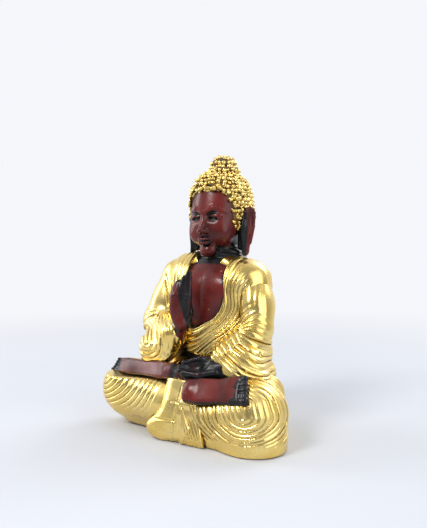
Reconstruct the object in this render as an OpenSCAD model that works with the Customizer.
// Seated figure in the double lotus pose, cast as separate pieces that are doweled together.
// +Z is up, the figure looks along -Y and its left side is +X.
// The origin is on the resting face, under the middle of the seat.

/* [Figure] */
// Height of the whole figure, felt pad included
statue_h = 150; // [120:5:200]
// Width across the knees
knee_w = 118; // [110:2:126]
// Depth from the front drape to the back of the robe
seat_d = 66; // [62:1:70]

/* [Base] */
// Thickness of the felt pad under the casting
pad_t = 1.2; // [0.8:0.2:2]
// Distance of the felt pad's edge from the rim of the seat
pad_inset = 5; // [3:1:8]
// Thickness of the plate that closes the hollow of the seat
plate_t = 2.4; // [1.6:0.2:3.2]
// Wall that is left between the hollow and the outside of the seat
seat_wall = 11; // [9:1:14]

/* [Dowels] */
// Diameter of the dowels at the neck and waist
dowel_d = 6; // [4:0.5:7]
// Diameter of the pins at the sleeves, hands and feet
pin_d = 3; // [2:0.5:3.5]
// Diameter of the pins at the ears and the topknot
small_pin_d = 1.6; // [1.2:0.2:2]
// Play all round a dowel or pin in its hole
play = 0.05; // [0.02:0.01:0.1]

/* [Smoothness] */
// Points around one horizontal section
around = 36; // [24:4:40]
// Rings up the height of one piece
rings_n = 12; // [8:1:14]

/* [Hidden] */

// Every length below is written for a figure 150 high and grows with it
unit = statue_h / 150;
wide = knee_w / 118;
deep = seat_d / 66;
// Planes that the front drape and the back of the robe reach
front_y = -seat_d / 2 * unit;
back_y = -front_y;
$fn = 48;

robe_gold = "goldenrod";
skin_maroon = [0.38, 0.09, 0.08];
steel_grey = "silver";
felt_black = [0.12, 0.12, 0.13];

// Gap that keeps two curved neighbours from touching
gap = 0.25 * unit;
// A length that reaches past any piece
far = 200 * unit;

// Sections of the crossed legs: height, half width, reach forwards and backwards of the knees
seat_rows = [
    [0, 55, 14, 37], [6, 58, 17.5, 40.5], [16, 59, 18.5, 42], [24, 57, 17.5, 41],
    [29, 53, 16, 39], [32, 48.5, 14.5, 37]
];
// Line across the knees, where the seat is widest
knee_y = -14;
// How square the seat is in plan, 2 being an ellipse
front_power = 2.8;
back_power = 2.2;
// The left shin lies in front of the right one, which turns the front edge of the seat, most at its foot
seat_skew = 0.05;
base_skew = 0.12;
base_skew_z = 16;
// Top of the hollow in the seat
hollow_z = 17 * unit;
seat_top = 32 * unit;

// Sections of the trunk: height, centre y, half width, half depth
trunk_rows = [
    [32, 13.5, 32, 19.5], [40, 12.5, 28, 20.7], [50, 12.5, 25, 20.7], [62, 13, 24, 19.5],
    [74, 14, 24.5, 18], [84, 15, 22, 15], [90, 15.5, 17, 12.5], [94, 15.5, 11.5, 10.5]
];
trunk_top = 94 * unit;
// Plane that parts the back of the robe from the chest and the lapels
front_plane = 9 * unit;

// Left and right edge of the bare chest against height
neckline = [
    [54, -4.5, -2.5], [57, -7, 7], [62, -8.5, 12], [70, -9.5, 14], [80, -10, 14],
    [88, -9.5, 11], [94, -7, 7]
];
neckline_z = 54;
sash_z = 41;
// Levels of the chest and the lapels, shared so that their edges meet
neckline_levels = [for (i = [0 : 10]) neckline_z + (94 - neckline_z) * i / 10];
lapel_levels = concat([for (i = [0 : 3]) sash_z + (neckline_z - sash_z) * i / 4], neckline_levels);

// Sections of the right sleeve: height, centre x, centre y, half width, half depth
right_sleeve_rows = [
    [35.5, -26, -9, 12, 5], [38, -27, -8, 16, 8], [45, -26, -6, 15.5, 11],
    [53, -25.5, -2, 16.5, 13], [60, -29.5, 5, 11.5, 13.5], [70, -28.5, 11, 9.5, 12.5],
    [80, -26, 13.5, 8.5, 11], [87, -21.5, 14.5, 7, 8.5], [91, -18, 15, 4, 5]
];
// Sections of the left sleeve: height, centre x, centre y, half width, half depth
left_sleeve_rows = [
    [33, 33, -7, 9, 9], [37, 30.5, -6.5, 11.5, 11], [44, 27.5, -5, 12, 12],
    [52, 27.5, 0, 11.5, 13.5], [60, 28, 6, 10.5, 13], [70, 27.5, 11, 9.5, 12.5],
    [80, 25.5, 13.5, 8.5, 11], [87, 21.5, 14.5, 7, 8.5], [91, 18, 15, 4, 5]
];

// Sections of the head: height, centre y, half width, half depth
head_rows = [
    [94, 16, 9.5, 9.8], [96.5, 13.5, 10, 12], [99, 13, 11.6, 13.6], [105, 14.2, 14.2, 15.4],
    [114, 15.2, 15.6, 16.4], [124, 15.6, 15.8, 16.4], [132, 16, 14.6, 15.4],
    [138, 16.4, 11.6, 12.4], [141, 16.6, 8, 9]
];
head_y = 16.6 * unit;
crown_z = 141 * unit;
// Height of the hair over the skull
hair_t = 0.8 * unit;
nape_z = 104 * unit;

// Ear slabs: inner face, thickness, and the rounds at the top and at the lobe
ear_x = 16.8 * unit;
ear_t = 3.2 * unit;
ear_top = [15.5, 116.5] * unit;
ear_top_r = 4.5 * unit;
ear_lobe = [14, 98.5] * unit;
ear_lobe_r = 2.8 * unit;

// Slot in the seat for the front drape
drape_x = -3 * unit;
drape_w = 22 * unit;
drape_back = -24 * deep * unit;
drape_top = 19 * unit;

// Ledge for the right foot, which stands against the left thigh
right_ledge = [2 * unit, -17 * unit, 19.5 * unit];
right_foot_l = 38 * unit;
// Ledge for the left foot, which lies across the right thigh
left_ledge = [1 * unit, -16 * unit, 28 * unit];
left_foot_l = 54 * unit;
left_foot_turn = 160;

hand_t = 5 * unit;
right_hand_at = [-5, -15, 54] * unit;
left_hand_at = [22, -16, 35.8] * unit;

waist_at = [for (side = [-1, 1]) [side * 14, 16, 0] * unit];
waist_z = [22, 44] * unit;
neck_z = [82, 104] * unit;
shoulder_at = [24, 13.5, 76] * unit;
sleeve_pin_l = 9 * unit;

// Value k of a table against its first column, on a smooth curve through the rows
function row_at(rows, z, i = 0) =
    i >= len(rows) - 2 || z < rows[i + 1][0] ? i : row_at(rows, z, i + 1);
function slope(rows, i, k) =
    let (a = max(i - 1, 0), b = min(i + 1, len(rows) - 1))
    (rows[b][k] - rows[a][k]) / (rows[b][0] - rows[a][0]);
function smooth(rows, z, k) =
    let (
        i = row_at(rows, z),
        h = rows[i + 1][0] - rows[i][0],
        t = min(max((z - rows[i][0]) / h, 0), 1)
    )
    (2 * t ^ 3 - 3 * t ^ 2 + 1) * rows[i][k] + (t ^ 3 - 2 * t ^ 2 + t) * h * slope(rows, i, k)
    + (3 * t ^ 2 - 2 * t ^ 3) * rows[i + 1][k] + (t ^ 3 - t ^ 2) * h * slope(rows, i + 1, k);

// One level of a piece in its table's own height, from the lowest (0) to the highest (rings_n)
function level(low, high, i) = low + (high - low) * i / rings_n;

function power(v, p) = sign(v) * pow(abs(v), p);

// Section of the seat at a height of its table, shrunk inwards by inset
function seat_ring(z, inset = 0) = [
    for (i = [0 : around - 1])
        let (
            a = i * 360 / around,
            in_front = sin(a) < 0,
            p = 2 / (in_front ? front_power : back_power),
            x = (smooth(seat_rows, z, 1) * wide * unit - inset) * power(cos(a), p),
            y = (smooth(seat_rows, z, in_front ? 2 : 3) * deep * unit - inset) * power(sin(a), p),
            skew = in_front ? (seat_skew + base_skew * max(1 - z / base_skew_z, 0)) * -sin(a) : 0
        )
        [x, max(y + knee_y * deep * unit - skew * x, front_y)]
];

function trunk_c(z) = [0, smooth(trunk_rows, z, 1)] * unit;
function trunk_r(z) = [smooth(trunk_rows, z, 2), smooth(trunk_rows, z, 3)] * unit;

// y of the trunk's front surface at x
function trunk_front(x, z) =
    trunk_c(z)[1] - trunk_r(z)[1] * sqrt(max(1 - (x / trunk_r(z)[0]) ^ 2, 0));
// Half width of the trunk where the front plane cuts it
function trunk_half(z) =
    trunk_r(z)[0] * sqrt(max(1 - ((front_plane - trunk_c(z)[1]) / trunk_r(z)[1]) ^ 2, 0));

// Pushes a point that is inside the trunk out to just past its surface
function clear_of_trunk(p, z) =
    let (
        c = trunk_c(z),
        r = trunk_r(z) + [gap, gap] * 4,
        m = norm([(p[0] - c[0]) / r[0], (p[1] - c[1]) / r[1]])
    )
    m < 1 ? c + (p - c) / max(m, 0.05) : p;

function ellipse(c, r, n) = [
    for (i = [0 : n - 1]) [c[0] + r[0] * cos(i * 360 / n), c[1] + r[1] * sin(i * 360 / n)]
];

// Closed solid through rings of equal length that run anticlockwise seen from above
module loft(rings) {
    n = len(rings[0]);
    m = len(rings);
    sides = [
        for (i = [0 : m - 2], j = [0 : n - 1])
            let (a = i * n + j, b = i * n + (j + 1) % n)
            each [[a, a + n, b + n], [a, b + n, b]]
    ];
    bottom = [for (j = [0 : n - 1]) j];
    top = [for (j = [n - 1 : -1 : 0]) (m - 1) * n + j];
    polyhedron([for (ring = rings) each ring], concat(sides, [bottom, top]));
}

// Part of the trunk's front between two edges, which are functions of height
module front_piece(levels, left_edge, right_edge) {
    steps = 8;
    loft([
        for (z = levels)
            let (a = left_edge(z), b = right_edge(z))
            concat(
                [for (k = [0 : steps])
                    let (x = a + (b - a) * k / steps)
                    [x, min(trunk_front(x, z), front_plane - gap), z * unit]],
                [[b, front_plane, z * unit], [a, front_plane, z * unit]]
            )
    ]);
}

// Round hole or pin along Z from one height to another
module pin_z(at, z, d) {
    translate([at[0], at[1], z[0]]) cylinder(d = d, h = z[1] - z[0]);
}

// Round hole or pin along X, centred on a point
module pin_x(at, length, d) {
    translate(at) rotate([0, 90, 0]) cylinder(d = d, h = length, center = true);
}

// Round hole or pin along Y, centred on a point
module pin_y(at, length, d) {
    translate(at) rotate([90, 0, 0]) cylinder(d = d, h = length, center = true);
}

module waist_pins(d) {
    for (at = waist_at) pin_z(at, waist_z, d);
}

module neck_pin(d) {
    pin_z([0, 16 * unit], neck_z, d);
}

module chest_pegs(d) {
    for (at = [[2, 80], [3, 66]]) pin_y([at[0] * unit, front_plane, at[1] * unit], 6 * unit, d);
    for (at = [[16, 52], [-16, 52]]) pin_y([at[0] * unit, front_plane, at[1] * unit], 6 * unit, d);
}

module shoulder_pins(d) {
    for (side = [-1, 1])
        pin_x([side * shoulder_at[0], shoulder_at[1], shoulder_at[2]], sleeve_pin_l, d);
}

module wrist_pins(d) {
    pin_x([right_hand_at[0] - 4 * unit, right_hand_at[1], right_hand_at[2] + 3 * unit], 9 * unit, d);
    pin_x([left_hand_at[0] + 4 * unit, left_hand_at[1], left_hand_at[2] + hand_t / 2],
        8 * unit, d);
}

module foot_pegs(d) {
    pin_y([20 * unit, right_ledge[1], 26 * unit], 8 * unit, d);
    pin_z([-25 * unit, -5 * unit], [24 * unit, 32 * unit], d);
}

module drape_pegs(d) {
    for (z = [6, 14]) pin_y([drape_x, drape_back, z * unit], 6 * unit, d);
}

module ear_pegs(d) {
    for (side = [-1, 1]) pin_x([side * ear_x, 16 * unit, 110 * unit], 4 * unit, d);
}

module crown_pin(d) {
    pin_z([0, head_y], [137.5, 144.5] * unit, d);
}

// Underside pocket of the seat, shrunk by a clearance
module pocket(z, clearance) {
    translate([0, 0, z[0]])
        linear_extrude(z[1] - z[0]) polygon(seat_ring(0, seat_wall * unit + clearance));
}

module felt_pad() {
    color(felt_black) linear_extrude(pad_t) polygon(seat_ring(0, pad_inset * unit));
}

module closing_plate() {
    color(steel_grey) pocket([pad_t, pad_t + plate_t], play);
}

module weight_core() {
    color("white") pocket([pad_t + plate_t, hollow_z], play);
}

// Space that a foot or the drape takes out of the seat
module right_foot_space() {
    translate([right_ledge[0] - gap, -far, right_ledge[2]])
        cube([right_foot_l + 2 * gap, far + right_ledge[1], far]);
}

module left_foot_space() {
    translate(left_ledge) rotate([0, 0, left_foot_turn])
        cube([far, 13 * unit, far]);
}

module drape_space() {
    translate([drape_x - drape_w / 2 - gap, -far, 0])
        cube([drape_w + 2 * gap, far + drape_back, drape_top + gap]);
}

module lap_robe() {
    low = pad_t / unit;
    color(robe_gold) difference() {
        loft([
            for (i = [0 : rings_n])
                let (z = level(low, seat_top / unit, i))
                [for (p = seat_ring(z)) [p[0], p[1], z * unit]]
        ]);
        pocket([0, hollow_z], 0);
        right_foot_space();
        left_foot_space();
        drape_space();
        waist_pins(dowel_d + 2 * play);
        foot_pegs(pin_d + 2 * play);
        drape_pegs(pin_d + 2 * play);
    }
}

// Hanging panel between the shins, which flares towards its hem
module front_drape() {
    half = drape_w / 2;
    color(robe_gold) difference() {
        loft([
            for (i = [0 : rings_n])
                let (
                    t = i / rings_n,
                    z = pad_t + (drape_top - pad_t) * t,
                    w = half * (1 - 0.3 * t),
                    reach = (front_y - drape_back) * (1 - 0.35 * t ^ 2)
                )
                concat(
                    [for (k = [0 : 10])
                        let (s = k / 5 - 1)
                        [drape_x + w * s, drape_back + reach * sqrt(1 - 0.9 * s ^ 2), z]],
                    [[drape_x + w, drape_back, z], [drape_x - w, drape_back, z]]
                )
        ]);
        drape_pegs(pin_d + 2 * play);
    }
}

// Back and sides of the robe on the trunk
module torso_robe() {
    color(robe_gold) difference() {
        loft([
            for (i = [0 : rings_n])
                let (z = level(seat_top / unit, trunk_top / unit, i))
                [for (p = ellipse(trunk_c(z), trunk_r(z), around)) [p[0], min(p[1], back_y), z * unit]]
        ]);
        translate([-far, -far, seat_top - far]) cube([2 * far, far + front_plane, 3 * far]);
        waist_pins(dowel_d + 2 * play);
        neck_pin(dowel_d + 2 * play);
        chest_pegs(pin_d + 2 * play);
        shoulder_pins(pin_d + 2 * play);
    }
}

module chest() {
    color(skin_maroon) difference() {
        front_piece(neckline_levels,
            function(z) smooth(neckline, z, 1) * unit, function(z) smooth(neckline, z, 2) * unit);
        chest_pegs(pin_d + 2 * play);
    }
}

module left_lapel() {
    color(robe_gold) difference() {
        front_piece(lapel_levels,
            function(z) smooth(neckline, z, 2) * unit, function(z) trunk_half(z) - gap);
        chest_pegs(pin_d + 2 * play);
    }
}

module right_lapel() {
    color(robe_gold) difference() {
        front_piece(lapel_levels,
            function(z) gap - trunk_half(z), function(z) smooth(neckline, z, 1) * unit);
        chest_pegs(pin_d + 2 * play);
    }
}

// Sleeve from the hem up to the shoulder, hollowed where it wraps round the trunk
module sleeve(rows) {
    loft([
        for (i = [0 : rings_n])
            let (
                z = level(rows[0][0], rows[len(rows) - 1][0], i),
                c = [smooth(rows, z, 1), smooth(rows, z, 2)] * unit,
                r = [smooth(rows, z, 3), smooth(rows, z, 4)] * unit
            )
            [for (p = ellipse(c, r, around))
                let (q = clear_of_trunk(p, z))
                [q[0], q[1], z * unit]]
    ]);
}

// Mouth of the left sleeve round the wrist
module left_cuff_space() {
    translate([-far, left_hand_at[1] - 6.5 * unit, left_hand_at[2] - gap])
        cube([far + left_hand_at[0] + 5 * unit, 13 * unit, hand_t + 2 * gap]);
}

module right_sleeve() {
    color(robe_gold) difference() {
        sleeve(right_sleeve_rows);
        shoulder_pins(pin_d + 2 * play);
        wrist_pins(pin_d + 2 * play);
    }
}

module left_sleeve() {
    color(robe_gold) difference() {
        sleeve(left_sleeve_rows);
        left_cuff_space();
        shoulder_pins(pin_d + 2 * play);
        wrist_pins(pin_d + 2 * play);
    }
}

// Flat hand along X, palm up, with the wrist at the origin
module hand() {
    $fn = 20;
    finger_r = 1.5 * unit;
    finger_w = 2.7 * unit;
    palm_l = 12 * unit;
    finger_l = [13, 15, 14, 11] * unit;
    linear_extrude(hand_t) hull() {
        circle(r = 4.2 * unit);
        translate([palm_l, 0]) circle(r = 5.4 * unit);
    }
    for (i = [0 : 3])
        translate([palm_l + 2 * unit, (i - 1.5) * finger_w, hand_t / 2]) {
            rotate([0, 90, 0]) cylinder(r = finger_r, h = finger_l[i]);
            translate([finger_l[i], 0, 0]) sphere(r = finger_r);
        }
    translate([3 * unit, 4 * unit, hand_t / 2]) rotate([0, 90, 18]) {
        cylinder(r = finger_r * 1.15, h = 10 * unit);
        translate([0, 0, 10 * unit]) sphere(r = finger_r * 1.15);
    }
}

module right_hand() {
    color(skin_maroon) difference() {
        translate(right_hand_at) rotate([0, -90, 0]) translate([0, 0, -hand_t / 2]) hand();
        wrist_pins(pin_d + 2 * play);
    }
}

module left_hand() {
    color(skin_maroon) difference() {
        translate(left_hand_at) rotate([0, 0, 180]) hand();
        wrist_pins(pin_d + 2 * play);
    }
}

// Sole of a foot along X as a slab, heel at the origin side, with five toes
module foot(length, heel_r, ball_r, thick) {
    toe_r = ball_r / 4.4;
    ball = length - ball_r - 2.2 * toe_r;
    linear_extrude(thick) hull() {
        translate([heel_r, 0]) circle(r = heel_r);
        translate([ball, 0]) circle(r = ball_r);
    }
    for (i = [0 : 4])
        translate([length - toe_r * (1.2 + 0.35 * i), (2 - i) * toe_r * 1.7, 0])
            cylinder(r = toe_r, h = thick * 0.8);
    translate([ball, -ball_r + 0.6 * toe_r, 0])
        cube([ball_r + toe_r * 0.4, 2 * ball_r - 1.2 * toe_r, thick * 0.7]);
}

module right_foot() {
    color(skin_maroon) difference() {
        translate([right_ledge[0], right_ledge[1], right_ledge[2] + 6.6 * unit])
            rotate([90, 0, 0]) foot(right_foot_l, 6 * unit, 6.4 * unit, 10 * unit);
        foot_pegs(pin_d + 2 * play);
    }
}

module left_foot() {
    color(skin_maroon) difference() {
        translate(left_ledge) rotate([0, 0, left_foot_turn]) translate([0, 6.3 * unit, 0])
            foot(left_foot_l, 5.6 * unit, 6.2 * unit, 7.5 * unit);
        foot_pegs(pin_d + 2 * play);
    }
}

// Side view of the space that the hair takes, from the forehead down to the nape
module hair_space() {
    rotate([90, 0, 90]) translate([0, 0, -far])
        linear_extrude(2 * far) polygon([
            [-far, 131.5 * unit], [3 * unit, 131.5 * unit], [11 * unit, 108 * unit],
            [14 * unit, nape_z], [far, nape_z], [far, 2 * far], [-far, 2 * far]
        ]);
}

// Skull grown by a thickness of hair
module skull(low, high, grow) {
    loft([
        for (i = [0 : rings_n])
            let (
                z = level(low, high, i),
                c = [0, smooth(head_rows, z, 1)] * unit,
                r = [smooth(head_rows, z, 2), smooth(head_rows, z, 3)] * unit + [grow, grow]
            )
            [for (p = ellipse(c, r, around)) [p[0], min(p[1], back_y), z * unit]]
    ]);
}

module head() {
    color(skin_maroon) difference() {
        skull(trunk_top / unit, 136, 0);
        hair_space();
        neck_pin(dowel_d + 2 * play);
        ear_pegs(small_pin_d + 2 * play);
    }
}

module hair_cap() {
    color(robe_gold) difference() {
        intersection() {
            skull(nape_z / unit, crown_z / unit, hair_t);
            hair_space();
        }
        ear_pegs(small_pin_d + 2 * play);
        crown_pin(small_pin_d + 2 * play);
    }
}

module topknot() {
    bun_r = 9 * unit;
    bun_h = statue_h - crown_z;
    color(robe_gold) difference() {
        translate([0, head_y, crown_z]) rotate_extrude() polygon(concat(
            [[0, 0]],
            [for (a = [0 : 9 : 90]) [bun_r * cos(a) * (1 - 0.12 * sin(2 * a)), bun_h * sin(a)]]
        ));
        crown_pin(small_pin_d + 2 * play);
    }
}

// Long ear as a slab with a round top and a drop-shaped lobe
module ear(side) {
    inner = side > 0 ? ear_x : -ear_x - ear_t;
    translate([inner, 0, 0]) rotate([90, 0, 90]) linear_extrude(ear_t) hull() {
        translate(ear_top) circle(r = ear_top_r);
        translate(ear_lobe) circle(r = ear_lobe_r);
    }
}

module left_ear() {
    color(skin_maroon) difference() {
        ear(1);
        ear_pegs(small_pin_d + 2 * play);
    }
}

module right_ear() {
    color(skin_maroon) difference() {
        ear(-1);
        ear_pegs(small_pin_d + 2 * play);
    }
}

module waist_dowels() {
    color(steel_grey) waist_pins(dowel_d);
}

module neck_dowel() {
    color(steel_grey) neck_pin(dowel_d);
}

module chest_pins() {
    color(steel_grey) chest_pegs(pin_d);
}

module sleeve_pins() {
    color(steel_grey) shoulder_pins(pin_d);
}

module hand_pins() {
    color(steel_grey) wrist_pins(pin_d);
}

module foot_pins() {
    color(steel_grey) foot_pegs(pin_d);
}

module drape_pins() {
    color(steel_grey) drape_pegs(pin_d);
}

module ear_pins() {
    color(steel_grey) ear_pegs(small_pin_d);
}

module topknot_pin() {
    color(steel_grey) crown_pin(small_pin_d);
}

felt_pad();
closing_plate();
weight_core();
lap_robe();
front_drape();
torso_robe();
chest();
left_lapel();
right_lapel();
left_sleeve();
right_sleeve();
left_hand();
right_hand();
left_foot();
right_foot();
head();
left_ear();
right_ear();
hair_cap();
topknot();
waist_dowels();
neck_dowel();
chest_pins();
sleeve_pins();
hand_pins();
foot_pins();
drape_pins();
ear_pins();
topknot_pin();
